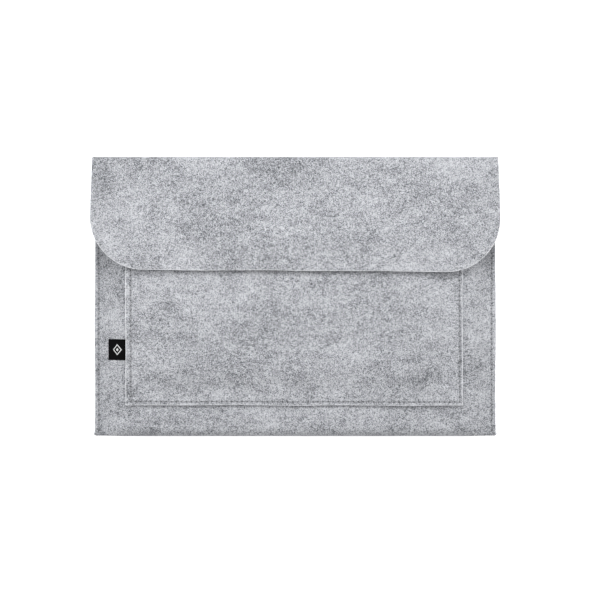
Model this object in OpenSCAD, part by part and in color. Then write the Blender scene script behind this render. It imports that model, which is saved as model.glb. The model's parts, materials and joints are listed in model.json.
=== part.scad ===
// Felt laptop sleeve with a fold-over flap, a front pocket and a side label.
// It lies on its back: X runs along the width, Y from the bottom fold to the top fold, Z out of the front.
// The origin is the centre of the flat back, in the plane that it rests on.

/* [Body] */
// Width of the body over the side seams
body_w = 360; // [340:1:380]
// Height of the closed sleeve from bottom fold to top fold
body_h = 249; // [235:1:270]
// Thickness of the felt
felt_t = 3; // [2.5:0.1:3.5]
// Thickness of the laptop compartment
cavity_t = 12; // [10:0.5:16]
// Width of the flat seam allowance at each side
seam_band = 6; // [5:0.5:8]
// Width over which the front slopes down to a side seam
side_slope_w = 23.5; // [18:0.5:30]
// Distance from the mouth of the compartment to the top fold
mouth_drop = 17; // [12:1:25]

/* [Flap] */
// Height of the closed flap
flap_h = 102; // [85:1:120]
// Radius of the flap's two free corners
flap_corner_r = 47.5; // [20:0.5:60]

/* [Pocket] */
// Width of the pocket panel
pocket_w = 300; // [260:1:310]
// Sideways offset of the pocket panel from the centre line
pocket_shift = -1; // [-3:0.5:3]
// Height of the pocket panel's bottom edge above the bottom fold
pocket_bottom = 28.2; // [15:0.1:40]
// Height of the pocket panel
pocket_h = 165; // [150:1:175]
// Depth of the space inside the pocket
pocket_gap = 4.6; // [4.5:0.1:8]
// Width of the sewn flat band round the pocket
pocket_band = 11; // [8:0.5:15]
// Width over which the pocket panel rises from its flat band
pocket_rise_w = 25; // [15:1:35]

/* [Closure] */
// Length of the hook and loop strips
tape_l = 195; // [150:1:220]
// Width of the hook and loop strips
tape_w = 20; // [16:1:25]
// Thickness of each strip
tape_t = 1; // [0.8:0.1:1.5]
// Height of the strips' centre line above the bottom fold
tape_y = 173; // [165:1:180]

/* [Stitching] */
// Diameter of the sewing thread
thread_d = 0.6; // [0.4:0.1:0.8]
// Distance from one stitch to the next
stitch_pitch = 4.5; // [3:0.1:6]
// Visible length of one stitch
stitch_l = 3.5; // [2:0.1:4]
// Distance of a side seam from the felt's edge
side_seam_in = 3.7; // [3:0.1:5]
// Distance of the pocket's side seams from the sleeve's centre line
pocket_seam_x = 146.3; // [120:0.1:150]
// Distance of the pocket's bottom seam from the pocket's edge
pocket_seam_in = 3.1; // [2.5:0.1:5]

/* [Label] */
// Length of the label that shows beside the pocket
label_out = 15.3; // [10:0.1:20]
// Length of the label that is sewn in under the pocket's edge
label_in = 9; // [6:0.5:12]
// Width of the label tape
label_w = 18.6; // [12:0.1:25]
// Thickness of the label, folded double
label_t = 0.9; // [0.6:0.1:1.2]
// Height of the label's centre above the bottom fold
label_y = 77.7; // [50:0.1:110]

/* [Hidden] */

// Clearance between pieces that move past each other
gap = 0.3;
// Steps along one smooth slope, and along the half turn of the bottom fold
slope_steps = 10;
turn_steps = 12;
// Least gap between the two layers inside the bottom fold, and the straight stretch before its turn
fold_gap = 0.3;
fold_lead = 1;
// Overshoot of a cutting solid
over = 1;
$fn = 48;

y_bottom = -body_h / 2;
y_top = body_h / 2;
y_mouth = y_top - mouth_drop;
edge_x = body_w / 2;
slope_out = edge_x - seam_band;
slope_in = slope_out - side_slope_w;
front_in = felt_t + cavity_t;
front_out = front_in + felt_t;
fold_r = front_out / 2;
y_turn = y_bottom + fold_r + fold_lead;

pocket_left = pocket_shift - pocket_w / 2;
pocket_y0 = y_bottom + pocket_bottom;
pocket_y1 = pocket_y0 + pocket_h;
pocket_out = front_out + pocket_gap + felt_t;
tape_z = pocket_out;
hook_z = tape_z + tape_t + gap;
flap_z = hook_z + tape_t;

crease_r = felt_t / 2;
crease_y = y_top - crease_r;
low_crease_z = crease_r;
high_crease_z = flap_z + crease_r;

side_seam_x = edge_x - side_seam_in;
thread_r = thread_d / 2;
groove_w = thread_d + 0.3;
side_seam_y0 = y_turn + stitch_pitch;
side_seam_y1 = y_mouth - stitch_pitch;
pocket_seam_y0 = pocket_y0 + pocket_seam_in;
pocket_seam_y1 = pocket_y1 - stitch_pitch;

label_x = pocket_left - gap - label_t / 2;

felt_colour = [0.74, 0.75, 0.77];
thread_colour = [0.5, 0.51, 0.54];
tape_colour = [0.62, 0.63, 0.65];
label_colour = [0.04, 0.04, 0.045];

// Smooth step from 0 to 1 for t from 0 to 1
function ease(t) = let (u = min(1, max(0, t))) u * u * (3 - 2 * u);
// Height of the compartment's space at distance x from the centre line
function space(x) = cavity_t * (1 - ease((abs(x) - slope_in) / side_slope_w));
// The x stations of the front's cross-section, from left to right
function slope_xs() = [for (i = [0 : slope_steps]) slope_in + side_slope_w * i / slope_steps];
function mirrored(xs) = concat([for (i = [len(xs) - 1 : -1 : 0]) -xs[i]], xs);
function front_xs() = mirrored(concat(slope_xs(), [edge_x]));
// Height of the pocket's space at distance d inside the inner edge of its flat band
function pocket_space(d) = pocket_gap * ease(d / pocket_rise_w);
function rise_steps() = [for (i = [0 : slope_steps]) pocket_rise_w * i / slope_steps];

// A prism along Y over an outline in the XZ plane
module along_y(y0, y1) {
    translate([0, y1, 0]) rotate([90, 0, 0]) linear_extrude(y1 - y0) children();
}

// A prism along X over an outline given as (y, z)
module along_x(x0, x1) {
    translate([x0, 0, 0]) rotate([90, 0, 90]) linear_extrude(x1 - x0) children();
}

// One row of stitches: short lengths of thread lying along X
module stitch_row(length) {
    count = floor(length / stitch_pitch);
    start = (length - (count - 1) * stitch_pitch - stitch_l) / 2;
    for (i = [0 : count - 1])
        translate([start + i * stitch_pitch, 0, 0])
            rotate([0, 90, 0]) cylinder(r = thread_r, h = stitch_l, $fn = 16);
}

// The groove that a row of stitches draws into the felt, from z = 0 up to the thread's depth
module groove(length) {
    translate([0, -groove_w / 2, 0]) cube([length, groove_w, thread_d + over]);
}

module seam_along_y(x, y0, y1, z) {
    translate([x, y0, z]) rotate([0, 0, 90]) children();
}

// Grooves of the pocket's three seams; z is the lower face of the cut
module pocket_grooves(z) {
    for (x = [-pocket_seam_x, pocket_seam_x])
        seam_along_y(x, pocket_seam_y0, pocket_seam_y1, z)
            groove(pocket_seam_y1 - pocket_seam_y0);
    translate([-pocket_seam_x, pocket_seam_y0, z]) groove(2 * pocket_seam_x);
}

// Stitches of the pocket's three seams; z is the thread's centre line
module pocket_stitches(z) {
    corner = stitch_pitch / 2;
    side_l = pocket_seam_y1 - pocket_seam_y0 - corner;
    for (x = [-pocket_seam_x, pocket_seam_x])
        seam_along_y(x, pocket_seam_y0 + corner, pocket_seam_y1, z) stitch_row(side_l);
    translate([-pocket_seam_x + corner, pocket_seam_y0, z]) stitch_row(2 * (pocket_seam_x - corner));
}

// Stitches of one side seam; z is the thread's centre line
module side_stitches(x, z) {
    seam_along_y(x, side_seam_y0, side_seam_y1, z) stitch_row(side_seam_y1 - side_seam_y0);
}

module side_grooves(z) {
    for (x = [-side_seam_x, side_seam_x])
        seam_along_y(x, side_seam_y0, side_seam_y1, z) groove(side_seam_y1 - side_seam_y0);
}

// Flat back of the compartment, ending in the rounded nose of the lower crease
module back_panel() {
    color(felt_colour) difference() {
        union() {
            translate([-edge_x, y_turn, 0]) cube([body_w, crease_y - y_turn, felt_t]);
            translate([-edge_x, crease_y, low_crease_z])
                rotate([0, 90, 0]) cylinder(r = crease_r, h = body_w);
        }
        side_grooves(-over);
    }
}

// One ring of the bottom fold at x: the outer half turn, then the inner one back
function fold_ring(x) =
    let (
        outer = (space(x) + 2 * felt_t) / 2,
        inner = max(fold_gap / 2, outer - felt_t),
        y_mid = y_bottom + outer,
        turn = [for (i = [0 : turn_steps]) 180 * i / turn_steps]
    )
    concat(
        [[x, y_turn, 0]],
        [for (a = turn) [x, y_mid - outer * sin(a), outer - outer * cos(a)]],
        [[x, y_turn, 2 * outer]],
        [[x, y_turn, outer + inner]],
        [for (i = [turn_steps : -1 : 0]) [x, y_mid - inner * sin(turn[i]), outer - inner * cos(turn[i])]],
        [[x, y_turn, outer - inner]]
    );

// The felt's half turn along the bottom, tighter towards the side seams
module bottom_fold() {
    xs = front_xs();
    rings = [for (x = xs) fold_ring(x)];
    n = len(rings[0]);
    sides = [
        for (k = [0 : len(xs) - 2], i = [0 : n - 1])
            let (j = (i + 1) % n)
            each [
                [k * n + i, k * n + j, (k + 1) * n + j],
                [k * n + i, (k + 1) * n + j, (k + 1) * n + i]
            ]
    ];
    start = [[for (i = [n - 1 : -1 : 0]) i]];
    end = [[for (i = [0 : n - 1]) (len(xs) - 1) * n + i]];
    color(felt_colour) polyhedron(points = [for (r = rings) each r], faces = concat(sides, start, end));
}

// Front of the compartment, sloping down to the side seams
module front_panel() {
    xs = front_xs();
    n = len(xs);
    lower = [for (x = xs) [x, felt_t + space(x)]];
    upper = [for (i = [n - 1 : -1 : 0]) [xs[i], 2 * felt_t + space(xs[i])]];
    color(felt_colour) difference() {
        along_y(y_turn, y_mouth) polygon(concat(lower, upper));
        side_grooves(2 * felt_t - thread_d);
        pocket_grooves(front_in - over);
        label_recess();
    }
}

// Outline across the pocket, under a surface that rises by extra above the pocket's space
module pocket_outline(half, extra, base) {
    steps = [for (d = rise_steps()) [d, base + pocket_space(d) + extra]];
    left = [for (s = steps) [s[0] - half, s[1]]];
    right = [for (i = [len(steps) - 1 : -1 : 0]) [half - steps[i][0], steps[i][1]]];
    polygon(concat([[-half, front_out - over]], left, right, [[half, front_out - over]]));
}

// Outline up the pocket as (y, z): closed at the bottom, level up to its open top
module pocket_rise(y0, y1, extra, base) {
    steps = [for (d = rise_steps()) [y0 + d, base + pocket_space(d) + extra]];
    polygon(concat([[y0, front_out - over]], steps, [[y1, base + pocket_gap + extra], [y1, front_out - over]]));
}

// Pocket panel: a sewn flat band on three sides, raised in the middle and open at the top
module pocket_panel() {
    half = pocket_w / 2;
    inner_half = half - pocket_band;
    inner_y0 = pocket_y0 + pocket_band;
    color(felt_colour) difference() {
        intersection() {
            translate([pocket_left, pocket_y0, front_out]) cube([pocket_w, pocket_h, pocket_gap + felt_t]);
            union() {
                translate([pocket_left, pocket_y0, front_out]) cube([pocket_w, pocket_h, felt_t]);
                intersection() {
                    translate([pocket_shift, 0, 0]) along_y(pocket_y0, pocket_y1)
                        pocket_outline(inner_half, felt_t, front_out);
                    along_x(pocket_left, pocket_left + pocket_w)
                        pocket_rise(inner_y0, pocket_y1, felt_t, front_out);
                }
            }
        }
        intersection() {
            translate([pocket_shift, 0, 0]) along_y(pocket_y0, pocket_y1 + over)
                pocket_outline(inner_half, 0, front_out);
            along_x(pocket_left, pocket_left + pocket_w)
                pocket_rise(inner_y0, pocket_y1 + over, 0, front_out);
        }
        pocket_grooves(front_out + felt_t - thread_d);
    }
}

// Strip of felt over the top between the two creases that let the flap open flat
module top_fold() {
    r = crease_r + gap;
    color(felt_colour) difference() {
        translate([-edge_x, y_top - felt_t, low_crease_z])
            cube([body_w, felt_t, high_crease_z - low_crease_z]);
        for (z = [low_crease_z, high_crease_z])
            translate([-body_w, crease_y, z]) rotate([0, 90, 0]) cylinder(r = r, h = 2 * body_w);
        for (z = [low_crease_z - over, high_crease_z - r])
            translate([-body_w, y_top - felt_t - over, z])
                cube([2 * body_w, over + crease_r, r + over]);
    }
}

// Outline of the closed flap seen from the front, from the upper crease to its free edge
module flap_outline() {
    y_edge = y_top - flap_h;
    cx = edge_x - flap_corner_r;
    cy = y_edge + flap_corner_r;
    translate([-edge_x, cy]) square([body_w, crease_y - cy]);
    translate([-cx, y_edge]) square([2 * cx, flap_corner_r + over]);
    for (x = [-cx, cx]) translate([x, cy]) circle(r = flap_corner_r, $fn = 96);
}

// Flap with two round free corners and the rounded nose of the upper crease
module flap_panel() {
    color(felt_colour) {
        translate([0, 0, flap_z]) linear_extrude(felt_t) flap_outline();
        translate([-edge_x, crease_y, high_crease_z])
            rotate([0, 90, 0]) cylinder(r = crease_r, h = body_w);
    }
}

module tape(z) {
    translate([-tape_l / 2, y_bottom + tape_y - tape_w / 2, z]) cube([tape_l, tape_w, tape_t]);
}

// Loop strip bonded to the pocket's face
module loop_strip() {
    color(tape_colour) tape(tape_z);
}

// Hook strip bonded to the flap's inner face
module hook_strip() {
    color(tape_colour) tape(hook_z);
}

module label_recess() {
    translate([pocket_left - over, y_bottom + label_y - label_w / 2 - gap, front_out - label_t])
        cube([label_in + over, label_w + 2 * gap, label_t + over]);
}

// End of the label between the pocket's edge and the front
module label_sewn_end() {
    translate([pocket_left, y_bottom + label_y - label_w / 2, front_out - label_t])
        color(label_colour) cube([label_in, label_w, label_t]);
}

// Height of the label's lower face at distance d out from its crease
function label_low(d) = 2 * felt_t + space(label_x - d) + gap;

// Free end of the label, following the front's slope
module label_tab() {
    ds = [for (i = [0 : slope_steps]) label_out * i / slope_steps];
    lower = [for (d = ds) [label_x - d, label_low(d)]];
    upper = [for (i = [slope_steps : -1 : 0]) [label_x - ds[i], label_low(ds[i]) + label_t]];
    y0 = y_bottom + label_y - label_w / 2;
    color(label_colour) {
        along_y(y0, y0 + label_w) polygon(concat(lower, upper));
        translate([label_x, y0, label_low(0) + label_t / 2])
            rotate([-90, 0, 0]) cylinder(r = label_t / 2, h = label_w, $fn = 24);
    }
}

module side_seam_left_needle_thread() {
    color(thread_colour) side_stitches(-side_seam_x, 2 * felt_t - thread_r);
}

module side_seam_left_bobbin_thread() {
    color(thread_colour) side_stitches(-side_seam_x, thread_r);
}

module side_seam_right_needle_thread() {
    color(thread_colour) side_stitches(side_seam_x, 2 * felt_t - thread_r);
}

module side_seam_right_bobbin_thread() {
    color(thread_colour) side_stitches(side_seam_x, thread_r);
}

module pocket_seam_needle_thread() {
    color(thread_colour) pocket_stitches(front_out + felt_t - thread_r);
}

module pocket_seam_bobbin_thread() {
    color(thread_colour) pocket_stitches(front_in + thread_r);
}

back_panel();
bottom_fold();
front_panel();
pocket_panel();
top_fold();
flap_panel();
loop_strip();
hook_strip();
label_sewn_end();
label_tab();
side_seam_left_needle_thread();
side_seam_left_bobbin_thread();
side_seam_right_needle_thread();
side_seam_right_bobbin_thread();
pocket_seam_needle_thread();
pocket_seam_bobbin_thread();
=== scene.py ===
import json
import math

import bpy
import numpy as np
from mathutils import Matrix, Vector


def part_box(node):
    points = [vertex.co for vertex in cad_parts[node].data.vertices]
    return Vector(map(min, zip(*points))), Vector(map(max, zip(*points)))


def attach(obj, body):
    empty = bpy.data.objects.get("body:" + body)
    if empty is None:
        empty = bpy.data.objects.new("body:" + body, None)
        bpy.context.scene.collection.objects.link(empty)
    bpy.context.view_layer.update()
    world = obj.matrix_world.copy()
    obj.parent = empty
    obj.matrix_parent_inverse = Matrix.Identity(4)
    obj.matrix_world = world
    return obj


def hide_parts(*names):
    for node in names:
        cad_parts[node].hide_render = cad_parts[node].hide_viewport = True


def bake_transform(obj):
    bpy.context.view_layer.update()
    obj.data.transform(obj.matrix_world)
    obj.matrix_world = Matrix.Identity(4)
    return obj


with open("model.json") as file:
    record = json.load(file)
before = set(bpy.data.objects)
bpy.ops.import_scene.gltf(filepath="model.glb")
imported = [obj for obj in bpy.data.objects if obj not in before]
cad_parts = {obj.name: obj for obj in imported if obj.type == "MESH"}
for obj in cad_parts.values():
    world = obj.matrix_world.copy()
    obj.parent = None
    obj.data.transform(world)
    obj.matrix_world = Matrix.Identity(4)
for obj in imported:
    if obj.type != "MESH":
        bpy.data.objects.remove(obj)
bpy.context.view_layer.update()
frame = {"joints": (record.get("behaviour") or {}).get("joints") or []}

# Lengths in this script are in millimetres, and MM turns them into Blender's metres.
MM = 0.001


def node_box(name):
    """Lowest and highest corner of a CAD node, in millimetres."""
    low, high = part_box(name)
    return np.array(low) / MM, np.array(high) / MM


# ---- Sizes from the frame ----
back_lo, back_hi = node_box("back_panel")
fold_lo, _ = node_box("bottom_fold")
_, front_hi = node_box("front_panel")
pocket_lo, pocket_hi = node_box("pocket_panel")
flap_lo, _ = node_box("flap_panel")
spine_lo, spine_hi = node_box("top_fold")
loop_lo, loop_hi = node_box("loop_strip")
hook_lo, hook_hi = node_box("hook_strip")
tab_lo, tab_hi = node_box("label_tab")
sewn_lo, sewn_hi = node_box("label_sewn_end")

FELT = spine_hi[1] - spine_lo[1]
HALF = FELT / 2
EDGE_X = back_hi[0]
Y_BOTTOM = fold_lo[1]
Y_TURN = back_lo[1]
Y_MOUTH = front_hi[1]
Y_TOP = spine_hi[1]
CAVITY = front_hi[2] - 2 * FELT
POCKET_GAP = pocket_hi[2] - front_hi[2] - FELT
LOW_CREASE, HIGH_CREASE, LABEL_CREASE = (
    np.array(next(j for j in frame["joints"] if j["name"] == name)["pos_m"]) / MM
    for name in ("lower_crease", "upper_crease", "label_crease")
)

# ---- Shape constants, the same as the CAD model's ----
SEAM_BAND = 6  # flat band at each side, where the front is sewn to the back
SLOPE_W = 23.5  # width over which the front rises from that band
SLOPE_IN = EDGE_X - SEAM_BAND - SLOPE_W
POCKET_BAND = 11  # the pocket lies flat this far in from its sewn edges
POCKET_RISE = 25  # and rises over this width
FLAP_R = 47.5  # radius of the flap's two corners
SIDE_SEAM_X = EDGE_X - 3.7
POCKET_SEAM_X = 146.3
POCKET_SEAM_Y = pocket_lo[1] + 3.1
PITCH = 4.5  # from one needle hole to the next
LABEL_Y = (tab_lo[1] + tab_hi[1]) / 2

# ---- Camera: straight above, nearly centred, as a product photographer sets it ----
FRAME_W = 538.5  # width that the view takes in at the sleeve
CAMERA_RISE = 1600
CAMERA_X, CAMERA_Y = 4.3, -2.5
SENSOR = 36
CLIP_END_M = 50


def make_camera():
    data = bpy.data.cameras.new("camera")
    data.sensor_width = SENSOR
    data.lens = SENSOR * CAMERA_RISE / FRAME_W
    data.clip_end = CLIP_END_M
    camera = bpy.data.objects.new("camera", data)
    camera.location = (CAMERA_X * MM, CAMERA_Y * MM, (CAMERA_RISE + 2 * FELT) * MM)
    bpy.context.scene.collection.objects.link(camera)
    bpy.context.scene.camera = camera


make_camera()


# ---- Numeric helpers ----
def ease(t):
    """Smooth step from 0 to 1."""
    t = np.clip(t, 0, 1)
    return t * t * (3 - 2 * t)


def waves(seed, shortest, longest, count=14):
    """A smooth random surface of about -1 to 1, whose waves are shortest to longest mm long."""
    rng = np.random.default_rng(seed)
    length = np.exp(rng.uniform(math.log(shortest), math.log(longest), count))
    angle = rng.uniform(0, 2 * math.pi, count)
    phase = rng.uniform(0, 2 * math.pi, count)
    kx, ky = 2 * math.pi / length * np.cos(angle), 2 * math.pi / length * np.sin(angle)
    weight = length / length.max()

    def surface(x, y):
        x, y = np.broadcast_arrays(np.asarray(x, float), np.asarray(y, float))
        total = sum(w * np.sin(a * x + b * y + p) for w, a, b, p in zip(weight, kx, ky, phase))
        return total / math.sqrt((weight**2).sum())

    return surface


RIM_STEPS = (0.0, 0.12, 0.35, 0.7, 1.2, 2.0)
CLOSEST = 0.03


def stations(low, high, step, fine=()):
    """Positions from low to high: step apart, close together at the two rims and in each
    fine = (start, end, step) stretch."""
    found = [low + e for e in RIM_STEPS] + [high - e for e in RIM_STEPS]
    inner_lo, inner_hi = low + RIM_STEPS[-1], high - RIM_STEPS[-1]
    at = inner_lo
    for start, end, fine_step in sorted(fine) + [(inner_hi, inner_hi, 1)]:
        start, end = max(start, inner_lo), min(end, inner_hi)
        if start > at:
            found += list(np.linspace(at, start, max(2, math.ceil((start - at) / step) + 1)))
        if end > start:
            found += list(np.linspace(start, end, math.ceil((end - start) / fine_step) + 1))
        at = max(at, end)
    found = np.unique(np.round(found, 4))
    return found[np.concatenate([[True], np.diff(found) > CLOSEST])]


def unit(v):
    """Vectors of length 1 along the last axis."""
    return v / np.maximum(np.linalg.norm(v, axis=-1, keepdims=True), 1e-9)


def normals_of(grid):
    """Unit normals of a (rows, columns, 3) grid, on the side that columns x rows points to."""
    along_rows = np.gradient(grid, axis=0)
    along_cols = np.gradient(grid, axis=1)
    return unit(np.cross(along_cols, along_rows))


def round_rim(distance, radius=0.5):
    """How far the felt's face drops at a distance in from its cut edge."""
    d = np.clip(distance, 0, radius)
    return radius - np.sqrt(np.maximum(radius**2 - (radius - d) ** 2, 0))


def edge_distance(x, y, low, high):
    """Distance in from the nearest edge of a rectangle."""
    return np.minimum(np.minimum(x - low[0], high[0] - x), np.minimum(y - low[1], high[1] - y))


# ---- Seams, as rows of needle holes ----
def hole_row(start, end):
    """Evenly spaced needle holes from start to end, about PITCH apart."""
    start, end = np.array(start, float), np.array(end, float)
    count = int(round(np.linalg.norm(end - start) / PITCH))
    return start + (end - start) * np.linspace(0, 1, count + 1)[:, None]


SIDE_SEAM_Y = (Y_BOTTOM + 5.0, Y_MOUTH - PITCH)
side_holes = [hole_row((x, SIDE_SEAM_Y[0]), (x, SIDE_SEAM_Y[1])) for x in (-SIDE_SEAM_X, SIDE_SEAM_X)]
pocket_holes = [
    hole_row((-POCKET_SEAM_X, POCKET_SEAM_Y), (-POCKET_SEAM_X, pocket_hi[1] - PITCH)),
    hole_row((-POCKET_SEAM_X, POCKET_SEAM_Y), (POCKET_SEAM_X, POCKET_SEAM_Y)),
    hole_row((POCKET_SEAM_X, POCKET_SEAM_Y), (POCKET_SEAM_X, pocket_hi[1] - PITCH)),
]
VALLEY_DEPTH, VALLEY_W = 0.42, 0.62
# Share of painted shade laid along a seam's valley, between its needle holes
VALLEY_SHADE = 0.3
HOLE_DEPTH, HOLE_R = 1.0, 0.6
LINES_BY_A_HOLE = (-1.1, -0.45, 0.0, 0.45, 1.1)
LINE_GAP = 0.3  # no other mesh line comes nearer to these
RIM_CLEAR = 2  # and they stay this far from the sheet's edges
SEAM_FINE = 0.3


def with_hole_lines(positions, holes):
    """Mesh lines along a seam: a close set by each needle hole, and the given ones between."""
    lines = (holes[:, None] + np.array(LINES_BY_A_HOLE)).ravel()
    lines = lines[(lines > positions[0] + RIM_CLEAR) & (lines < positions[-1] - RIM_CLEAR)]
    away = np.abs(positions[:, None] - lines).min(axis=1) > LINE_GAP
    return np.sort(np.concatenate([positions[away], lines]))


def with_seam_lines(positions, seams):
    """Mesh lines across a seam: a close set where it runs, and the given ones elsewhere."""
    for seam in seams:
        lines = seam + np.arange(-5, 6) * SEAM_FINE
        away = np.abs(positions[:, None] - lines).min(axis=1) > SEAM_FINE / 2
        positions = np.sort(np.concatenate([positions[away], lines]))
    return positions


def seam_press(x, y, rows):
    """Depth that the seams press into the felt at (x, y), and the painted shade there, which is how much
    of a needle hole is there, with a little more along the seam's valley.
    """
    depth = np.zeros(np.broadcast(x, y).shape)
    painted_shade = np.zeros_like(depth)
    for row in rows:
        start, end = row[0], row[-1]
        length = np.linalg.norm(end - start)
        way = (end - start) / length
        step = length / (len(row) - 1)
        t = (x - start[0]) * way[0] + (y - start[1]) * way[1]
        off = (x - start[0]) * -way[1] + (y - start[1]) * way[0]
        past = np.maximum(np.maximum(-t, t - length), 0)
        near_line = np.exp(-(off**2 + past**2) / VALLEY_W**2)
        depth = np.maximum(depth, near_line)
        nearest = t - np.clip(np.round(t / step), 0, len(row) - 1) * step
        painted_shade = np.maximum(painted_shade, np.exp(-(off**2 + nearest**2) / HOLE_R**2))
    # The second value is painted shade: dark in the needle holes, a little darker along the valley
    return VALLEY_DEPTH * depth + HOLE_DEPTH * painted_shade, np.maximum(painted_shade, VALLEY_SHADE * depth)


# ---- Surfaces of the sleeve ----
body_swell = waves(11, 45, 190)
flap_swell = waves(12, 50, 200)
edge_wander = waves(13, 18, 120)
SWELL = 0.28
SWELL_FROM_FOLD = 40  # the front lies true at the bottom fold and swells over this height
EDGE_FADE = 1.5
CURVE_APART = 37.0


def slope(x):
    """1 over the compartment, falling to 0 at the side seams."""
    return 1 - ease((np.abs(x) - SLOPE_IN) / SLOPE_W)


def thickness(x):
    """Height of the front's outer face over the back's outer face."""
    return 2 * FELT + CAVITY * slope(x)


def front_swell(x, y):
    """The soft unevenness of the front."""
    inside = ease((y - Y_BOTTOM) / SWELL_FROM_FOLD) * slope(x)
    return SWELL * body_swell(x, y) * inside


def front_z(x, y):
    """Outer face of the front."""
    return thickness(x) + front_swell(x, y)


def pocket_lift(x, y):
    """How far the pocket stands off the front, rising from its three sewn edges."""
    across = np.minimum(x - pocket_lo[0], pocket_hi[0] - x) - POCKET_BAND
    up = y - pocket_lo[1] - POCKET_BAND
    return POCKET_GAP * ease(across / POCKET_RISE) * ease(up / POCKET_RISE)


def pocket_z(x, y):
    """Outer face of the pocket panel."""
    return front_hi[2] + front_swell(x, y) + FELT + pocket_lift(x, y)


def edge_share(x):
    """How far a place follows its side edge's waver: all the way at the edge, and soon not at all."""
    return np.exp(-(EDGE_X - np.abs(x)) / EDGE_FADE) * np.sign(x)


def wander(along, which, size=0.3):
    """Small waver of a cut edge, a different one for each number."""
    return size * edge_wander(along, which * CURVE_APART)


# ---- Mesh builders ----
FACE_PATTERN = 1.5  # sets the felt's pattern on one face apart from the other face's
WALL_RIM = 0.25


def new_mesh(name, verts, faces):
    mesh = bpy.data.meshes.new(name)
    mesh.from_pydata((np.asarray(verts) * MM).tolist(), [], faces)
    mesh.update()
    mesh.shade_smooth()
    obj = bpy.data.objects.new(name, mesh)
    bpy.context.scene.collection.objects.link(obj)
    return obj


def set_attribute(obj, name, values, kind="FLOAT"):
    attribute = obj.data.attributes.new(name, kind, "POINT")
    key = "vector" if kind == "FLOAT_VECTOR" else "value"
    attribute.data.foreach_set(key, np.asarray(values, np.float32).ravel())


def sheet_mesh(name, grid, flat, top, bottom, rim=None, painted_shade=None, bulge=0.14, seed=1):
    """A closed sheet: grid is its middle surface, flat its cut in the plane, and top and bottom
    the distances out to its two faces. Its cut edge bulges a little and is uneven."""
    rows, cols = grid.shape[:2]
    normal = normals_of(grid)
    upper = (grid + normal * top[..., None]).reshape(-1, 3)
    lower = (grid - normal * bottom[..., None]).reshape(-1, 3)
    plan = flat.reshape(-1, 2)
    count = rows * cols
    index = np.arange(count).reshape(rows, cols)
    quad = np.stack([index[:-1, :-1], index[:-1, 1:], index[1:, 1:], index[1:, :-1]], -1).reshape(-1, 4)
    ring = np.concatenate([index[0, :-1], index[:-1, -1], index[-1, :0:-1], index[:0:-1, 0]])
    middle = (upper[ring] + lower[ring]) / 2
    ahead = np.roll(middle, -1, 0) - np.roll(middle, 1, 0)
    out = unit(np.cross(unit(ahead), normal.reshape(-1, 3)[ring]))
    rough = waves(seed, 1.5, 9, 20)(plan[ring, 0], plan[ring, 1])
    middle = middle + out * (bulge * (1 + 0.6 * rough))[:, None]
    n = len(ring)
    at = 2 * count + np.arange(n)
    nxt = np.roll(np.arange(n), -1)
    top_wall = np.stack([ring, at, at[nxt], ring[nxt]], -1)
    low_wall = np.stack([at, ring + count, ring[nxt] + count, at[nxt]], -1)
    verts = np.concatenate([upper, lower, middle])
    faces = np.concatenate([quad, quad[:, ::-1] + count, top_wall, low_wall])
    obj = new_mesh(name, verts, faces.tolist())
    depth = np.concatenate([np.full(count, FACE_PATTERN), np.full(count, -FACE_PATTERN), np.zeros(n)])
    place = np.column_stack([np.concatenate([plan, plan, plan[ring]]), depth])
    set_attribute(obj, "felt_co", place * MM, "FLOAT_VECTOR")
    rim = np.zeros((rows, cols)) if rim is None else rim
    painted_shade = np.zeros((rows, cols)) if painted_shade is None else painted_shade
    set_attribute(obj, "rim", np.concatenate([rim.ravel(), rim.ravel(), np.full(n, WALL_RIM)]))
    # Painted shade goes on the outer face only
    set_attribute(obj, "painted_shade", np.concatenate([painted_shade.ravel(), np.zeros(count + n)]))
    return obj


def rim_mask(distance):
    """1 on a cut edge, falling to 0 a little way in."""
    return 1 - ease((distance - 0.2) / 0.6)


# ---- Felt pieces ----
BEND_STEPS = 10
LOW_BEND_R = 3.0
HIGH_BEND_R = 3.0
CREASE_LEAD = 1.5
CORNER_R = 1.2
FOLD_LEAD = 4
SPINE_ROWS = 8
SEWN_DROP = 0.6  # share of an edge's rounding on the face that is sewn down
OFF_THE_SEAMS = Y_BOTTOM - 100
MOUTH_FADE = 8
SPINE_MIDDLE = (LOW_CREASE[2] + HIGH_CREASE[2]) / 2


def body_columns():
    """Mesh lines across the sleeve: close at the side seams, and closer on the slopes."""
    reach = 1.6
    fine = []
    for side in (-1, 1):
        a, b = sorted((side * (SIDE_SEAM_X - reach), side * (SIDE_SEAM_X + reach)))
        fine.append((a, b, SEAM_FINE))
        a, b = sorted((side * SLOPE_IN, side * (SIDE_SEAM_X - reach)))
        fine.append((a, b, 2.0))
    return stations(-EDGE_X, EDGE_X, 6.0, fine)


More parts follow.
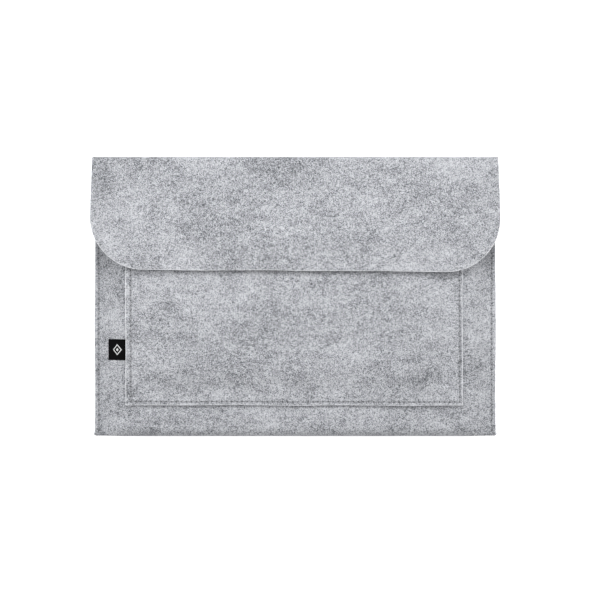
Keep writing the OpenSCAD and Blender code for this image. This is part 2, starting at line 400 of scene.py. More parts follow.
def make_body_wrap():
    """Front, bottom fold and back, as one wrapped sheet up to the lower crease."""
    x = body_columns()
    front_rows = stations(Y_TURN, Y_MOUTH, PITCH / 2)[::-1]
    front_rows = front_rows[(front_rows > Y_TURN + RIM_STEPS[-1]) | (front_rows == Y_TURN)]
    front_rows = with_hole_lines(front_rows[::-1], side_holes[0][:, 1])[::-1]
    back_end = Y_TOP - HALF - LOW_BEND_R - CREASE_LEAD
    back_rows = np.append(np.arange(Y_TURN, back_end - 1, PITCH / 2), back_end)
    total = thickness(x)
    corner = np.clip(np.abs(x) - (EDGE_X - CORNER_R), 0, CORNER_R)
    low = Y_BOTTOM + CORNER_R - np.sqrt(CORNER_R**2 - corner**2)
    centre = low + total / 2
    turn = total / 2 - HALF
    rows, flat_rows, press_rows = [], [], []

    def add_row(y, z, along, press=None):
        rows.append(np.column_stack([x, np.broadcast_to(y, x.shape), np.broadcast_to(z, x.shape)]))
        flat_rows.append(np.broadcast_to(along, x.shape))
        press_rows.append(np.broadcast_to(y if press is None else press, x.shape))

    for y in front_rows:
        add_row(y, total - HALF + front_swell(x, y), Y_MOUTH - y)
    for i in range(1, FOLD_LEAD):
        y = Y_TURN + (centre - Y_TURN) * i / FOLD_LEAD
        add_row(y, total - HALF + front_swell(x, y), Y_MOUTH - y)
    for a in np.linspace(0, math.pi, BEND_STEPS * 2 + 1):
        along = Y_MOUTH - centre + np.maximum(turn, 1.0) * a
        add_row(centre - turn * math.sin(a), total / 2 + turn * math.cos(a), along, OFF_THE_SEAMS)
    for i in range(1, FOLD_LEAD):
        y = centre + (Y_TURN - centre) * i / FOLD_LEAD
        add_row(y, HALF, along + y - centre)
    for y in back_rows:
        add_row(y, HALF, along + y - centre)
    grid = np.array(rows)
    flat = np.stack([np.broadcast_to(x, grid.shape[:2]), np.array(flat_rows)], -1)
    length = float(flat[-1, len(x) // 2, 1])
    press_y = np.array(press_rows)
    # The second value is painted shade along the side seams
    depth, painted_shade = seam_press(flat[..., 0], press_y, side_holes)
    side_distance = EDGE_X - np.abs(flat[..., 0])
    mouth_distance = flat[..., 1]
    distance = np.minimum(side_distance, mouth_distance)
    drop = round_rim(distance)
    grid[..., 0] += edge_share(grid[..., 0]) * wander(flat[..., 1], 1)
    near_mouth = 1 - ease(mouth_distance[: len(front_rows)] / MOUTH_FADE)
    grid[: len(front_rows), :, 1] += near_mouth * wander(x, 3)
    outer = HALF - depth - drop
    inner = HALF - np.where(side_distance < SEAM_BAND, drop * SEWN_DROP, drop)
    # Turned round, so that the first of the two thicknesses is the outer face's.
    layers = [a[::-1] for a in (grid, flat, outer, inner, rim_mask(distance), painted_shade)]
    return sheet_mesh("body_wrap", *layers, seed=21), length


def ring_lengths(path):
    """Length along a path up to each of its points."""
    return np.concatenate([[0], np.cumsum(np.linalg.norm(np.diff(path, axis=0), axis=1))])


def bend(centre_y, centre_z, radius, start, end):
    """Points of a bend in the YZ plane, from one angle to another, in degrees from +Y."""
    angles = np.radians(np.linspace(start, end, BEND_STEPS + 1))
    return np.column_stack([centre_y + radius * np.cos(angles), centre_z + radius * np.sin(angles)])


def make_crease_band(length_before):
    """The back's last stretch, the lower crease and the lower half of the top fold. The felt's
    pattern follows the outer face, which is longer round the bend."""
    x = body_columns()
    y_mid = Y_TOP - HALF
    start = y_mid - LOW_BEND_R - CREASE_LEAD
    lead = np.column_stack([np.linspace(start, y_mid - LOW_BEND_R, 3)[:-1], [HALF, HALF]])
    turn = bend(y_mid - LOW_BEND_R, HALF + LOW_BEND_R, LOW_BEND_R, -90, 0)
    heights = np.linspace(HALF + LOW_BEND_R, SPINE_MIDDLE, SPINE_ROWS + 1)[1:]
    rise = np.column_stack([np.full(SPINE_ROWS, y_mid), heights])
    path = np.concatenate([lead, turn, rise])
    along = ring_lengths(path)
    outer_turn = bend(y_mid - LOW_BEND_R, HALF + LOW_BEND_R, LOW_BEND_R + HALF, -90, 0)
    outer_along = ring_lengths(np.concatenate([lead - (0, HALF), outer_turn, rise + (HALF, 0)]))
    grid = np.stack([np.column_stack([x, np.full_like(x, y), np.full_like(x, z)]) for y, z in path])
    flat = np.stack(np.broadcast_arrays(x[None, :], length_before + outer_along[:, None]), -1)
    distance = EDGE_X - np.abs(flat[..., 0])
    fade = 1 - along[:, None] / along[-1]
    grid[..., 0] += edge_share(grid[..., 0]) * fade * wander(flat[..., 1], 1)
    drop = round_rim(distance)
    inner = HALF - np.where(distance < SEAM_BAND, drop * SEWN_DROP, drop)
    layers = [a[::-1] for a in (grid, flat, HALF - drop, inner, rim_mask(distance))]
    return sheet_mesh("crease_band", *layers, bulge=0.0), float(along[-1]), float(outer_along[-1])


FLAP_EDGE_Y = flap_lo[1]
FLAP_CX = EDGE_X - FLAP_R
FLAP_CY = FLAP_EDGE_Y + FLAP_R
FLAP_SKEW = 0.0066
FLAP_LIFT = 0.9
FLAP_SAG = 0.9
FLAP_FREE = 60  # length from the crease over which the flap becomes free to droop
CORNER_DROOP = 8.0
DROOP_FROM, DROOP_W = 112, 80
FLAP_SWELL = 0.35
FLAP_SWELL_RANGE = (-0.25, 0.05)
CALM_AT, CALM_W, CALM_SHARE = 100, 60, 0.3
FLAP_FLARE = 0.0125
FLARE_LENGTH = 55
FLAP_RIM_W = 3.0
FLAP_WAVER_FADE = 6
FLAP_WAVER_FROM = 20
# Strength of the painted shade over the upper crease
CREASE_SHADE = 0.1


def flap_distance(x, y):
    """Distance in from the flap's cut edge, at a place in its flat outline."""
    qx = np.abs(x) - FLAP_CX
    qy = FLAP_CY - y
    in_corner = (qx > 0) & (qy > 0)
    straight = np.minimum(EDGE_X - np.abs(x), y - FLAP_EDGE_Y)
    return np.where(in_corner, FLAP_R - np.hypot(qx, qy), straight)


def flap_shape(x, y):
    """Middle surface of the flap: its sag over the mouth, its drooping corners and its swell."""
    bend_end = Y_TOP - HALF - HIGH_BEND_R
    down = np.clip((bend_end - y) / (bend_end - hook_hi[1]), 0, 1)
    sag = FLAP_SAG * 4 * down * (1 - down)
    free = ease((bend_end - y) / FLAP_FREE)
    droop = CORNER_DROOP * ease((np.abs(x) - DROOP_FROM) / DROOP_W) * free
    calm = CALM_SHARE * np.exp(-((np.abs(x) - CALM_AT) ** 2) / CALM_W**2)
    swell = FLAP_SWELL * flap_swell(x, y) * free * (1 - calm)
    return HIGH_CREASE[2] - sag - droop + np.clip(swell, *FLAP_SWELL_RANGE)


def flap_skew(x, y):
    """Sideways tilt of the hand-closed flap, growing towards its free edge."""
    return (FLAP_LIFT - FLAP_SKEW * x) * ease((Y_TOP - y) / (Y_TOP - FLAP_EDGE_Y))


def make_flap(length_before):
    """Upper half of the top fold, the upper crease and the flap with its round corners."""
    y_mid = Y_TOP - HALF
    z_mid = HIGH_CREASE[2]
    heights = np.linspace(SPINE_MIDDLE, z_mid - HIGH_BEND_R, SPINE_ROWS + 1)[:-1]
    rise = np.column_stack([np.full(SPINE_ROWS, y_mid), heights])
    turn = bend(y_mid - HIGH_BEND_R, z_mid - HIGH_BEND_R, HIGH_BEND_R, 0, 90)
    bend_end = y_mid - HIGH_BEND_R
    ys = np.linspace(bend_end, FLAP_CY, 20)[1:]
    corner_ys = FLAP_CY - FLAP_R * np.sin(np.radians(np.linspace(0, 90, 40)))[1:]
    rim_ys = FLAP_EDGE_Y + np.array(RIM_STEPS)
    rows_y = np.unique(np.round(np.concatenate([ys, corner_ys, rim_ys]), 3))[::-1]
    flat_path = np.concatenate([rise, turn])
    spine_along = ring_lengths(flat_path)
    outer_turn = bend(y_mid - HIGH_BEND_R, z_mid - HIGH_BEND_R, HIGH_BEND_R + HALF, 0, 90)
    outer_along = ring_lengths(np.concatenate([rise + (HALF, 0), outer_turn]))
    u = stations(-EDGE_X, EDGE_X, 4.0) / EDGE_X
    turned_length = length_before + outer_along[-1]
    rows, flats, dist = [], [], []
    for (y, z), s in zip(flat_path, outer_along):
        x = u * EDGE_X
        rows.append(np.column_stack([x, np.full_like(x, y), np.full_like(x, z)]))
        flats.append(np.column_stack([x, np.full_like(x, length_before + s)]))
        dist.append(EDGE_X - np.abs(x))
    for y in rows_y:
        dy = np.clip(FLAP_CY - y, 0, FLAP_R)
        half = FLAP_CX + math.sqrt(FLAP_R**2 - dy**2)
        rim = np.minimum((1 - np.abs(u)) * EDGE_X, FLAP_RIM_W)
        inner = (np.abs(u) * EDGE_X + rim - FLAP_RIM_W) / (EDGE_X - FLAP_RIM_W) * (half - FLAP_RIM_W)
        x = np.sign(u) * (inner + FLAP_RIM_W - rim)
        rows.append(np.column_stack([x, np.full_like(x, y), flap_shape(x, y)]))
        flats.append(np.column_stack([x, np.full_like(x, turned_length + bend_end - y)]))
        dist.append(flap_distance(x, np.full_like(x, y)))
    grid, flat, distance = np.array(rows), np.array(flats), np.maximum(np.array(dist), 0)
    on_flap = slice(len(flat_path), None)
    flare = FLAP_FLARE * ease((Y_TOP - grid[on_flap, :, 1]) / FLARE_LENGTH)
    grid[on_flap, :, 1] += flap_skew(grid[on_flap, :, 0], grid[on_flap, :, 1])
    grid[on_flap, :, 0] *= 1 + flare
    rim_share = np.exp(-distance / FLAP_WAVER_FADE) * ease((bend_end - grid[..., 1]) / FLAP_WAVER_FROM)
    side = np.clip((np.abs(grid[..., 0]) - FLAP_CX) / FLAP_R, 0, 1) * np.sign(grid[..., 0])
    grid[..., 0] += side * rim_share * wander(grid[..., 1], 4)
    grid[..., 1] += rim_share * (1 - np.abs(side)) * wander(grid[..., 0], 5, 0.35)
    half = HALF - round_rim(distance)
    # Painted shade over the upper crease, darkest half way round the bend
    shade = np.zeros(grid.shape[:2])
    over_the_bend = np.sin(np.linspace(0, math.pi, len(turn)))[:, None]
    shade[len(rise) : len(flat_path)] = CREASE_SHADE * over_the_bend
    layers = [a[::-1] for a in (grid, flat, half, half, rim_mask(distance), shade)]
    length = float(spine_along[-1] + bend_end - FLAP_EDGE_Y)
    return sheet_mesh("flap_sheet", *layers, bulge=0.1, seed=22), length


POCKET_WAVER = 0.25
POCKET_WAVER_FADE = 5
POCKET_SKEW = 0.0015
PATTERN_APART = (500, 300)  # takes the pocket's pattern from another place in the felt


def make_pocket():
    x = with_hole_lines(stations(pocket_lo[0], pocket_hi[0], PITCH / 2), pocket_holes[1][:, 0])
    y = with_hole_lines(stations(pocket_lo[1], pocket_hi[1], PITCH / 2), pocket_holes[0][:, 1])
    x = with_seam_lines(x, (-POCKET_SEAM_X, POCKET_SEAM_X))
    y = with_seam_lines(y, (POCKET_SEAM_Y,))
    px, py = np.meshgrid(x, y)
    distance = edge_distance(px, py, pocket_lo, pocket_hi)
    # The second value is painted shade along the pocket's seam
    depth, painted_shade = seam_press(px, py, pocket_holes)
    grid = np.stack([px, py, pocket_z(px, py) - HALF], -1)
    near = np.exp(-distance / POCKET_WAVER_FADE)
    at_side = np.abs(px - (pocket_lo[0] + pocket_hi[0]) / 2) > 130
    at_foot = py < pocket_lo[1] + 20
    grid[..., 0] += near * at_side * wander(py, 6, POCKET_WAVER)
    grid[..., 1] += near * at_foot * wander(px, 7, POCKET_WAVER) - POCKET_SKEW * px
    drop = round_rim(distance)
    flat = np.stack([px + PATTERN_APART[0], py + PATTERN_APART[1]], -1)
    outer, inner = HALF - depth - drop, HALF - drop * 0.4
    return sheet_mesh("pocket_sheet", grid, flat, outer, inner, rim_mask(distance), painted_shade, seed=23)


# ---- Stitches: two plies twisted together, diving into a hole at each end ----
PLY_R = 0.17
PLY_OFFSET = 0.14
THREAD_RINGS = 13
THREAD_SIDES = 6
TWIST_TURNS = 2.6
TIP_R = 0.55  # a ply's end is this much of its full width
DIVE = 0.75


def tube_points(line, side, over, radius, sides):
    """Rings of points round each line, whose two cross directions are side and over."""
    around = np.arange(sides) * 2 * math.pi / sides
    ring = side[:, :, None, :] * np.cos(around)[:, None] + over[:, :, None, :] * np.sin(around)[:, None]
    return (line[:, :, None, :] + radius * ring).reshape(-1, 3)


def tube_faces(first, count, rings, sides):
    """Faces of several closed tubes, whose points start at first."""
    index = first + np.arange(count * rings * sides).reshape(count, rings, sides)
    turned = np.roll(index, -1, 2)
    wall = np.stack([index[:, :-1], turned[:, :-1], turned[:, 1:], index[:, 1:]], -1).reshape(-1, 4)
    return wall.tolist() + index[:, 0, ::-1].tolist() + index[:, -1, :].tolist()


def stitch_mesh(name, rows, height, up, dive, lift):
    """Stitches between each row's holes; height(x, y) is the face that they lie on, and up its side."""
    ends_a = np.concatenate([row[:-1] for row in rows])
    ends_b = np.concatenate([row[1:] for row in rows])
    t = np.linspace(0, 1, THREAD_RINGS)
    arch = 1 - (2 * t - 1) ** 6
    plan = ends_a[:, None, :] + (ends_b - ends_a)[:, None, :] * (0.12 + 0.76 * t)[None, :, None]
    mid = (ends_a + ends_b) / 2
    base = height(mid[:, 0], mid[:, 1])
    rise = -dive + (dive + lift) * arch
    centre = np.concatenate([plan, (base[:, None] + up * rise[None, :])[..., None]], -1)
    way = unit(np.gradient(centre, axis=1))
    side = unit(np.cross(way, np.array([0, 0, float(up)])))
    over = np.cross(side, way)
    taper = np.where((t == 0) | (t == 1), TIP_R, 1.0)[None, :, None, None]
    verts, faces = [], []
    n = len(centre)
    for ply in (0, 1):
        spin = 2 * math.pi * TWIST_TURNS * t + math.pi * ply
        offset = side * np.cos(spin)[None, :, None] + over * np.sin(spin)[None, :, None]
        verts.append(tube_points(centre + PLY_OFFSET * offset, side, over, PLY_R * taper, THREAD_SIDES))
        first = ply * n * THREAD_RINGS * THREAD_SIDES
        faces += tube_faces(first, n, THREAD_RINGS, THREAD_SIDES)
    return new_mesh(name, np.concatenate(verts), faces)


def make_stitches():
    """Needle stitches lie in the outer face's valleys, and bobbin stitches on the far side."""
    lie = VALLEY_DEPTH - 0.22
    made = {}
    for side, row in zip(("left", "right"), side_holes):
        seam = f"side_seam_{side}"
        made[f"{seam}_needle_thread"] = stitch_mesh(
            f"{seam}_needle_stitches", [row], lambda x, y: front_z(x, y) - lie, 1, DIVE, 0.05
        )
        made[f"{seam}_bobbin_thread"] = stitch_mesh(
            f"{seam}_bobbin_stitches", [row], lambda x, y: np.full_like(x, 0.36), -1, DIVE, 0.0
        )
    made["pocket_seam_needle_thread"] = stitch_mesh(
        "pocket_seam_needle_stitches", pocket_holes, lambda x, y: pocket_z(x, y) - lie, 1, DIVE, 0.05
    )
    made["pocket_seam_bobbin_thread"] = stitch_mesh(
        "pocket_seam_bobbin_stitches", pocket_holes, lambda x, y: front_z(x, y) - FELT, -1, 0.7, 0.12
    )
    return made


# ---- Hook and loop strips ----
TAPE_BASE = 0.45
PILE_MARGIN = 1.6
FILAMENT_SIDES = 4


def tape_base(name, low, high, z, seed):
    """A strip's woven backing."""
    x = stations(low[0], high[0], 3.0)
    y = stations(low[1], high[1], 2.0)
    px, py = np.meshgrid(x, y)
    distance = edge_distance(px, py, low, high)
    half = TAPE_BASE / 2 - round_rim(distance, 0.18)
    grid = np.stack([px, py, np.full_like(px, z)], -1)
    flat = np.stack([px, py], -1)
    return sheet_mesh(name, grid, flat, half, half, rim_mask(distance), bulge=0.03, seed=seed)


def pile(name, low, high, z, up, spacing, curve, radius, seed):
    """Rows of little bent filaments over a strip; curve gives one filament's points in its own plane."""
    rng = np.random.default_rng(seed)
    xs = np.arange(low[0] + PILE_MARGIN, high[0] - PILE_MARGIN, spacing)
    ys = np.arange(low[1] + PILE_MARGIN, high[1] - PILE_MARGIN, spacing)
    px, py = (g.ravel() for g in np.meshgrid(xs, ys))
    px = px + rng.uniform(-0.2, 0.2, len(px)) * spacing
    py = py + rng.uniform(-0.2, 0.2, len(py)) * spacing
    turn = rng.normal(0, 0.5, len(px)) + np.where((np.arange(len(px)) % 2) == 0, 0, math.pi)
    size = rng.uniform(0.85, 1.0, len(px))
    line = np.array(curve)
    way = np.column_stack([np.cos(turn), np.sin(turn), np.zeros(len(turn))])
    lift = np.array([0, 0, float(up)])
    centre = (
        np.column_stack([px, py, np.full_like(px, z)])[:, None, :]
        + way[:, None, :] * (line[:, 0][None, :, None] * size[:, None, None])
        + lift * (line[:, 1][None, :, None] * size[:, None, None])
    )
    along = unit(np.gradient(centre, axis=1))
    side = unit(np.cross(along, np.cross(way, lift)[:, None, :]))
    across = np.cross(along, side)
    verts = tube_points(centre, side, across, radius, FILAMENT_SIDES)
    return new_mesh(name, verts, tube_faces(0, len(px), len(line), FILAMENT_SIDES))


def make_tapes():
    loop_z = loop_lo[2] + TAPE_BASE / 2
    hook_z = hook_hi[2] - TAPE_BASE / 2
    tall = loop_hi[2] - loop_lo[2] - TAPE_BASE
    loop = [(-0.32, -0.1), (-0.42, tall * 0.55), (-0.2, tall * 0.95)]
    loop += [(0.15, tall), (0.4, tall * 0.6), (0.34, -0.1)]
    hook = [(0, -0.1), (0, tall * 0.6), (0.1, tall * 0.9), (0.28, tall), (0.42, tall * 0.78)]
    loop_face, hook_face = loop_z + TAPE_BASE / 2, hook_z - TAPE_BASE / 2
    return (
        tape_base("loop_strip_base", loop_lo, loop_hi, loop_z, 31),
        pile("loop_strip_pile", loop_lo, loop_hi, loop_face, 1, 1.05, loop, 0.07, 41),
        tape_base("hook_strip_base", hook_lo, hook_hi, hook_z, 32),
        pile("hook_strip_hooks", hook_lo, hook_hi, hook_face, -1, 1.3, hook, 0.1, 42),
    )


# ---- Label: one woven tape folded double ----
LABEL_PLY = 0.36
LABEL_FOLD_R = 0.2
LABEL_CLEAR = 0.3 + 0.45  # gap under the tab, and half of its thickness
LABEL_CLIMB = 3
LABEL_RIM_R = 0.14


def label_height(distance):
    """Height of the label's middle over the front, out from the crease."""
    return front_z(LABEL_CREASE[0] - distance, LABEL_Y) + LABEL_CLEAR


def make_label():
    """The label's tape: out from the seam on top, round its fold, and back underneath."""
    inner = np.linspace(-(sewn_hi[0] - LABEL_CREASE[0]), 0, 6)[:-1]
    outer = np.linspace(0, LABEL_CREASE[0] - tab_lo[0] - LABEL_FOLD_R, 22)
    d = np.concatenate([inner, outer])
    under = sewn_hi[2] - (sewn_hi[2] - sewn_lo[2]) / 2
    climb = under + (label_height(0) - under) * ease((d + LABEL_CLIMB) / LABEL_CLIMB)
    z = np.where(d < 0, climb, label_height(np.maximum(d, 0)))
    middle = np.column_stack([LABEL_CREASE[0] - d, z])
    way = unit(np.gradient(middle, axis=0))
    across = np.column_stack([way[:, 1], -way[:, 0]])
    across *= np.sign(across[:, 1:2])
    end, end_way, end_across = middle[-1], way[-1], across[-1]
    turn = [
        end + LABEL_FOLD_R * (math.cos(a) * end_across + math.sin(a) * end_way)
        for a in np.linspace(0, math.pi, 9)[1:-1]
    ]
    path = np.concatenate([middle + LABEL_FOLD_R * across, turn, (middle - LABEL_FOLD_R * across)[::-1]])
    along = ring_lengths(path)
    y = stations(tab_lo[1], tab_hi[1], 0.8)
    grid = np.array([np.column_stack([np.full_like(y, px), y, np.full_like(y, pz)]) for px, pz in path])
    crease_at = np.interp(0, d, along[: len(d)])
    flat = np.stack(np.broadcast_arrays(crease_at - along[:, None], y[None, :] - LABEL_Y), -1)
    distance = np.minimum(y - y[0], y[-1] - y)[None, :] + 0 * grid[..., 0]
    half = LABEL_PLY / 2 - round_rim(distance, LABEL_RIM_R)
    rim = rim_mask(distance * 2)
    return sheet_mesh("label_tape", grid, flat, half, half, rim, bulge=0.02, seed=51), float(along[-1])


# ---- Materials ----
class Nodes:
    """Short names for building a node tree."""

    def __init__(self, name):
        self.material = bpy.data.materials.new(name)
        self.material.use_nodes = True
        self.tree = self.material.node_tree
        self.shader = self.tree.nodes["Principled BSDF"]

    def add(self, kind, **settings):
        node = self.tree.nodes.new("ShaderNode" + kind)
        for key, value in settings.items():
            setattr(node, key, value)
        return node

    def put(self, socket, value):
        if isinstance(value, bpy.types.NodeSocket):
            self.tree.links.new(value, socket)
        else:
            socket.default_value = value

    def attribute(self, name, output="Fac"):
        return self.add("Attribute", attribute_name=name).outputs[output]

    def math(self, operation, a, b=0.0, c=0.0, clamp=False):
        node = self.add("Math", operation=operation, use_clamp=clamp)
        for socket, value in zip(node.inputs, (a, b, c)):
            self.put(socket, value)
        return node.outputs[0]

    def mapped(self, vector, scale=(1, 1, 1), turn=(0, 0, 0), shift=(0, 0, 0)):
        node = self.add("Mapping")
        self.put(node.inputs["Vector"], vector)
        node.inputs["Scale"].default_value = scale
        node.inputs["Rotation"].default_value = turn
        node.inputs["Location"].default_value = shift
        return node.outputs[0]

    def noise(self, vector, scale, detail=2.0, rough=0.5, distort=0.0):
        node = self.add("TexNoise", noise_dimensions="3D")
        self.put(node.inputs["Vector"], vector)
        node.inputs["Scale"].default_value = scale
        node.inputs["Detail"].default_value = detail
        node.inputs["Roughness"].default_value = rough
        node.inputs["Distortion"].default_value = distort
        return node.outputs["Fac"]

    def centred(self, value, gain):
        """A noise of about 0.5 turned into one of about 0, times gain."""
        return self.math("MULTIPLY", self.math("SUBTRACT", value, 0.5), gain)

    def extreme(self, operation, values):
        """The largest or the smallest of several values."""
        result = values[0]
        for value in values[1:]:
            result = self.math(operation, result, value)
        return result

    def total(self, *values):
        result = values[0]
        for value in values[1:]:
            result = self.math("ADD", result, value)
        return result

    def mix(self, factor, a, b):
        node = self.add("Mix", data_type="RGBA")
        self.put(node.inputs["Factor"], factor)
        self.put(node.inputs["A"], a)
        self.put(node.inputs["B"], b)
        return node.outputs["Result"]

    def ramp(self, factor, *stops):
        node = self.add("ValToRGB")
        self.put(node.inputs[0], factor)
        elements = node.color_ramp.elements
        while len(elements) < len(stops):
            elements.new(0.5)
        for element, (position, colour) in zip(elements, stops):
            element.position, element.color = position, colour
        return node.outputs[0]

    def bump(self, height, strength, distance):
        node = self.add("Bump")
        self.put(node.inputs["Height"], height)
        node.inputs["Strength"].default_value = strength
        node.inputs["Distance"].default_value = distance
        return node.outputs[0]

    def finish(self, colour, normal, roughness=0.95, specular=0.2, sheen=0.0):
        self.put(self.shader.inputs["Base Color"], colour)
        self.put(self.shader.inputs["Normal"], normal)
        self.put(self.shader.inputs["Roughness"], roughness)
        self.shader.inputs["Specular IOR Level"].default_value = specular
        self.shader.inputs["Sheen Weight"].default_value = sheen
        self.shader.inputs["Sheen Roughness"].default_value = 0.6
        return self.material


FELT_LIGHT = (0.535, 0.543, 0.572, 1)
FELT_MIDDLE = (0.32, 0.328, 0.348, 1)
FELT_DARK = (0.062, 0.067, 0.075, 1)
FELT_RIM = (0.72, 0.73, 0.755, 1)
# Colour of the painted shade in needle holes, seam valleys and over the upper crease
FELT_PAINTED_SHADE = (0.07, 0.073, 0.08, 1)


def felt_material():
    """Needle-punched melange felt: pale and dark fibres tangled in clouds."""
    n = Nodes("felt")
    place = n.attribute("felt_co", "Vector")
    clouds = n.noise(n.mapped(place, (1.0, 1.35, 1.0), (0, 0, 0.35)), 14, 2, 0.5, 0.3)
    patches = n.noise(n.mapped(place, (0.75, 1.35, 1.0), (0, 0, 0.25), (3, 1, 0)), 85, 3, 0.6, 0.4)
    tufts = n.noise(n.mapped(place, shift=(7, 5, 2)), 380, 3, 0.7, 0.6)
    grain = n.noise(place, 950, 2, 0.8)
    specks = n.noise(n.mapped(place, shift=(1, 9, 4)), 1300, 1, 0.5)
    strands, hairs = [], []
    for turn, shift in ((0.45, 1), (1.5, 2), (2.6, 3)):
        turned = n.mapped(place, turn=(0, 0, turn))
        strands.append(n.noise(n.mapped(turned, (380, 1400, 900), shift=(shift, 0, 0)), 1.0, 1, 0.5, 1.2))
        hairs.append(n.noise(n.mapped(turned, (300, 3600, 2000), shift=(0, shift, 0)), 1.0, 1, 0.6, 2.0))
    pale_strand, dark_strand = n.extreme("MAXIMUM", strands), n.extreme("MINIMUM", strands)
    pale_hair, dark_hair = n.extreme("MAXIMUM", hairs), n.extreme("MINIMUM", hairs)
    rim = n.attribute("rim")
    value = n.total(
        0.5,
        n.centred(clouds, 0.46),
        n.centred(patches, 0.5),
        n.centred(tufts, 0.5),
        n.centred(grain, 1.5),
        n.centred(specks, 1.1),
        n.centred(pale_strand, 1.0),
        n.centred(dark_strand, 1.0),
        n.centred(pale_hair, 0.9),
        n.centred(dark_hair, 0.9),
        n.math("MULTIPLY", rim, 0.22),
    )
    colour = n.ramp(value, (0.12, FELT_DARK), (0.5, FELT_MIDDLE), (0.88, FELT_LIGHT))
    fibre = n.total(0.66, n.centred(tufts, 1.3), n.centred(grain, 1.6))
    pale = n.math("MULTIPLY", rim, fibre, clamp=True)
    colour = n.mix(pale, colour, FELT_RIM)
    # Painted shade: the needle holes, the seam valleys and the upper crease are darkened
    painted_shade = n.math("MULTIPLY", n.attribute("painted_shade"), 1.1, clamp=True)
    colour = n.mix(painted_shade, colour, FELT_PAINTED_SHADE)
    height = n.total(n.centred(tufts, 1.0), n.centred(pale_strand, 0.8), n.centred(pale_hair, 0.7))
    normal = n.bump(height, 0.65, 0.0005)
    return n.finish(colour, normal, sheen=0.12)


def thread_material():
    n = Nodes("thread")
    place = n.add("TexCoord").outputs["Object"]
    fuzz = n.noise(place, 2600, 3, 0.7)
    colour = n.ramp(fuzz, (0.25, (0.24, 0.245, 0.26, 1)), (0.75, (0.5, 0.51, 0.53, 1)))
    return n.finish(colour, n.bump(fuzz, 0.4, 0.0001), 0.7, 0.3, 0.1)


def tape_material():
    """Woven nylon backing and its pile, in a grey near the felt's."""
    n = Nodes("tape")
    place = n.add("TexCoord").outputs["Object"]
    weave = n.add("TexWave", wave_type="BANDS", bands_direction="DIAGONAL")
    n.put(weave.inputs["Vector"], place)
    weave.inputs["Scale"].default_value = 900
    weave.inputs["Distortion"].default_value = 1.5
    cloud = n.noise(place, 180, 4, 0.6)
    value = n.math("ADD", n.math("MULTIPLY", weave.outputs["Fac"], 0.35), n.math("MULTIPLY", cloud, 0.65))
    colour = n.ramp(value, (0.2, (0.27, 0.275, 0.29, 1)), (0.8, (0.5, 0.505, 0.52, 1)))
    return n.finish(colour, n.bump(value, 0.4, 0.0002), 0.5, 0.4, 0.15)


def label_material():
    """Black woven label with a plain diamond in pale yarn."""
    n = Nodes("label")
    place = n.attribute("felt_co", "Vector")
    split = n.add("SeparateXYZ")
    n.put(split.inputs[0], place)
    along, across, side = split.outputs
    centre_along = (LABEL_CREASE[0] - tab_lo[0]) / 2 * MM
    dx = n.math("ABSOLUTE", n.math("ADD", along, centre_along))
    dy = n.math("ABSOLUTE", across)
    reach = n.math("ADD", dx, dy)
    outline = n.math("COMPARE", reach, 0.0044, 0.00055)
    middle = n.math("LESS_THAN", reach, 0.0015)
    front = n.math("GREATER_THAN", side, 0.0)
    mark = n.math("MULTIPLY", n.math("MAXIMUM", outline, middle), front, clamp=True)
    ribs = []
    for direction, scale in (("X", 420.0), ("Y", 300.0)):
        wave = n.add("TexWave", wave_type="BANDS", bands_direction=direction)
        n.put(wave.inputs["Vector"], place)
        wave.inputs["Scale"].default_value = scale
        wave.inputs["Distortion"].default_value = 0.4
        ribs.append(wave.outputs["Fac"])
    weave = n.math("MULTIPLY", ribs[0], ribs[1])
    black = n.ramp(weave, (0.0, (0.001, 0.001, 0.001, 1)), (1.0, (0.006, 0.006, 0.007, 1)))
    pale = n.ramp(weave, (0.0, (0.45, 0.46, 0.46, 1)), (1.0, (0.85, 0.86, 0.86, 1)))
    return n.finish(n.mix(mark, black, pale), n.bump(weave, 0.5, 0.00012), 0.8, 0.04, 0.0)


def floor_material():
    n = Nodes("floor")
    place = n.add("TexCoord").outputs["Object"]
    cloud = n.noise(place, 3, 2, 0.5)
    colour = n.ramp(cloud, (0.0, (0.9, 0.9, 0.9, 1)), (1.0, (0.92, 0.92, 0.92, 1)))
    n.shader.inputs["Emission Color"].default_value = (1, 1, 1, 1)
    n.shader.inputs["Emission Strength"].default_value = 0.6
    return n.finish(colour, n.bump(cloud, 0.05, 0.001), 0.8, 0.1)


# ---- Assembly ----
felt, thread, tape, label = felt_material(), thread_material(), tape_material(), label_material()


def finish_piece(obj, material):
    obj.data.materials.append(material)
    return obj


body_wrap, body_length = make_body_wrap()
crease_band, band_length, outer_band_length = make_crease_band(body_length)
flap_sheet, flap_length = make_flap(body_length + outer_band_length)
pocket_sheet = make_pocket()
label_tape, label_length = make_label()
loop_base, loop_pile, hook_base, hook_pile = make_tapes()

for piece in (body_wrap, crease_band, flap_sheet, pocket_sheet):
    finish_piece(piece, felt)
for piece in (loop_base, loop_pile, hook_base, hook_pile):
    finish_piece(piece, tape)
finish_piece(label_tape, label)

for piece in (body_wrap, pocket_sheet, loop_base, loop_pile):
    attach(piece, "sleeve")
for piece in (hook_base, hook_pile):
    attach(piece, "flap")

for node, piece in make_stitches().items():
    finish_piece(piece, thread)
    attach(piece, "sleeve")
    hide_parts(node)

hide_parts("back_panel", "bottom_fold", "front_panel")
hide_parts("top_fold")
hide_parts("flap_panel")
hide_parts("pocket_panel")
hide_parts("loop_strip")
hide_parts("hook_strip")
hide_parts("label_sewn_end", "label_tab")


def blend_at(piece, middle, way):
    """Bakes a piece's transform into its mesh; its middle and way are not used."""
    middle, way = np.array([0, *middle]), np.array([0, *way]) / math.sqrt(2)
    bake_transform(piece)


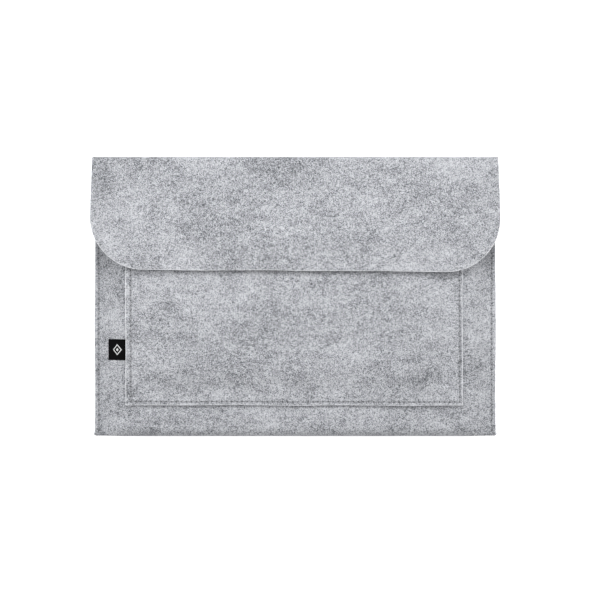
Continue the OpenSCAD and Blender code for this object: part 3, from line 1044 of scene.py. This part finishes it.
bend_share = math.cos(math.pi / 4)
low_middle = (
    Y_TOP - HALF - LOW_BEND_R * (1 - bend_share),
    HALF + LOW_BEND_R * (1 - bend_share),
)
high_middle = (
    Y_TOP - HALF - HIGH_BEND_R * (1 - bend_share),
    HIGH_CREASE[2] - HIGH_BEND_R * (1 - bend_share),
)
blend_at(crease_band, low_middle, (1, 1))
blend_at(flap_sheet, high_middle, (-1, 1))
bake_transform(label_tape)


# ---- Floor and light ----
FLOOR_INSET = 1.5


def make_floor():
    """A wide floor, open under the sleeve's flat back, so that the back can be seen from below."""
    size = 6.0
    half = (EDGE_X - FLOOR_INSET) * MM
    low = (Y_TURN + FLOOR_INSET) * MM
    high = (Y_TOP - HALF - LOW_BEND_R - FLOOR_INSET) * MM
    outer = [(-size, -size, 0), (size, -size, 0), (size, size, 0), (-size, size, 0)]
    inner = [(-half, low, 0), (half, low, 0), (half, high, 0), (-half, high, 0)]
    sides = [(i, (i + 1) % 4, 4 + (i + 1) % 4, 4 + i) for i in range(4)]
    mesh = bpy.data.meshes.new("studio_floor")
    mesh.from_pydata(outer + inner, [], sides)
    floor = bpy.data.objects.new("studio_floor", mesh)
    floor.data.materials.append(floor_material())
    bpy.context.scene.collection.objects.link(floor)


def area_light(name, place, size, watts):
    """A soft box that faces the sleeve."""
    light = bpy.data.lights.new(name, "AREA")
    light.shape = "RECTANGLE"
    light.size, light.size_y = size
    light.energy = watts
    lamp = bpy.data.objects.new(name, light)
    lamp.location = place
    lamp.rotation_euler = (-Vector(place)).to_track_quat("-Z", "Y").to_euler()
    bpy.context.scene.collection.objects.link(lamp)


def make_light():
    world = bpy.data.worlds.new("studio")
    world.use_nodes = True
    sky = world.node_tree.nodes["Background"]
    sky.inputs["Color"].default_value = (1, 1, 1, 1)
    sky.inputs["Strength"].default_value = 0.35
    bpy.context.scene.world = world
    area_light("top_box", (0.0, 0.6, 0.78), (1.0, 0.4), 7.8)
    area_light("left_box", (-1.9, 0.15, 1.4), (0.9, 1.6), 33)
    area_light("right_box", (1.9, 0.25, 1.4), (0.9, 1.6), 30)
    bpy.context.scene.view_settings.view_transform = "Standard"


make_floor()
make_light()
